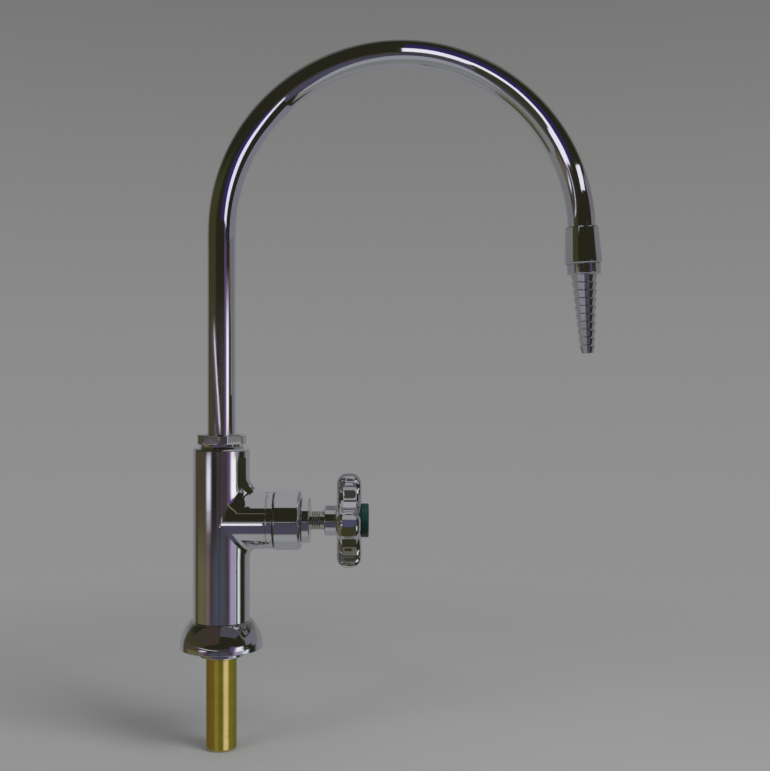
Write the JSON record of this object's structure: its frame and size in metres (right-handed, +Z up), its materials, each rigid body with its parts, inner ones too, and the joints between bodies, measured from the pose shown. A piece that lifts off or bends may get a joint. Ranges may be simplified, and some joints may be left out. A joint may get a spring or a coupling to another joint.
{
  "type": "fill faucet",
  "caption": "Deck-mounted gooseneck fill faucet with a side compression valve, a four-arm handle and a serrated hose nozzle.",
  "frame": {"origin": "on the inlet axis at the deck face, the plane of the base flange's rim", "axes": "+Z up the barrel, +X along the valve branch and towards the spout's outlet"},
  "size_m": [0.2378, 0.053, 0.3991],
  "materials": {
    "chrome": "polished chrome plate on cast brass",
    "chrome_tube": "polished chrome plate on drawn brass tube",
    "chrome_nozzle": "chrome plate on turned brass",
    "chrome_handle": "polished chrome plate on a forging",
    "raw_brass": "turned, unplated",
    "stem_brass": "turned, thinly plated",
    "inner_brass": "turned",
    "stainless": "turned",
    "rubber": "moulded, matt",
    "low_friction": "smooth, pale",
    "green_plastic": "moulded, dark green"
  },
  "bodies": {
    "base": {"body": "chrome", "base_flange": "chrome", "inlet_shank": "raw_brass", "swivel_nut": "chrome", "friction_washer": "low_friction", "valve_seat": "inner_brass", "bonnet": "chrome", "bonnet_gasket": "rubber", "stem_packing": "low_friction", "packing_gland": "inner_brass", "packing_nut": "chrome"},
    "spout": {"spout_collar": "inner_brass", "spout_o_rings": "rubber", "gooseneck_tube": "chrome_tube", "outlet_coupling": "chrome", "hose_nozzle": "chrome_nozzle"},
    "washer_carrier": {"washer_holder": "inner_brass", "seat_washer": "rubber", "washer_screw": "stainless", "holder_ring": "stainless"},
    "handle_set": {"stem": "stem_brass", "handle": "chrome_handle", "handle_screw": "stainless", "index_button": "green_plastic"}
  },
  "joints": [
    {"name": "spout_swivel", "type": "hinge", "parent": "base", "child": "spout", "pos_m": [0, 0, 0.101], "axis": [0, 0, 1], "continuous": true},
    {"name": "stem_rise", "type": "slide", "parent": "base", "child": "washer_carrier", "axis": [1, 0, 0], "range_m": [0, 0.00375]},
    {"name": "handle_turn", "type": "hinge", "parent": "washer_carrier", "child": "handle_set", "pos_m": [0.05, 0, 0.0715], "axis": [1, 0, 0], "range_deg": [0, 540]}
  ],
  "couplings": [
    {"joint": "handle_turn", "follows": "stem_rise", "rad_per_m": 2513.3}
  ]
}
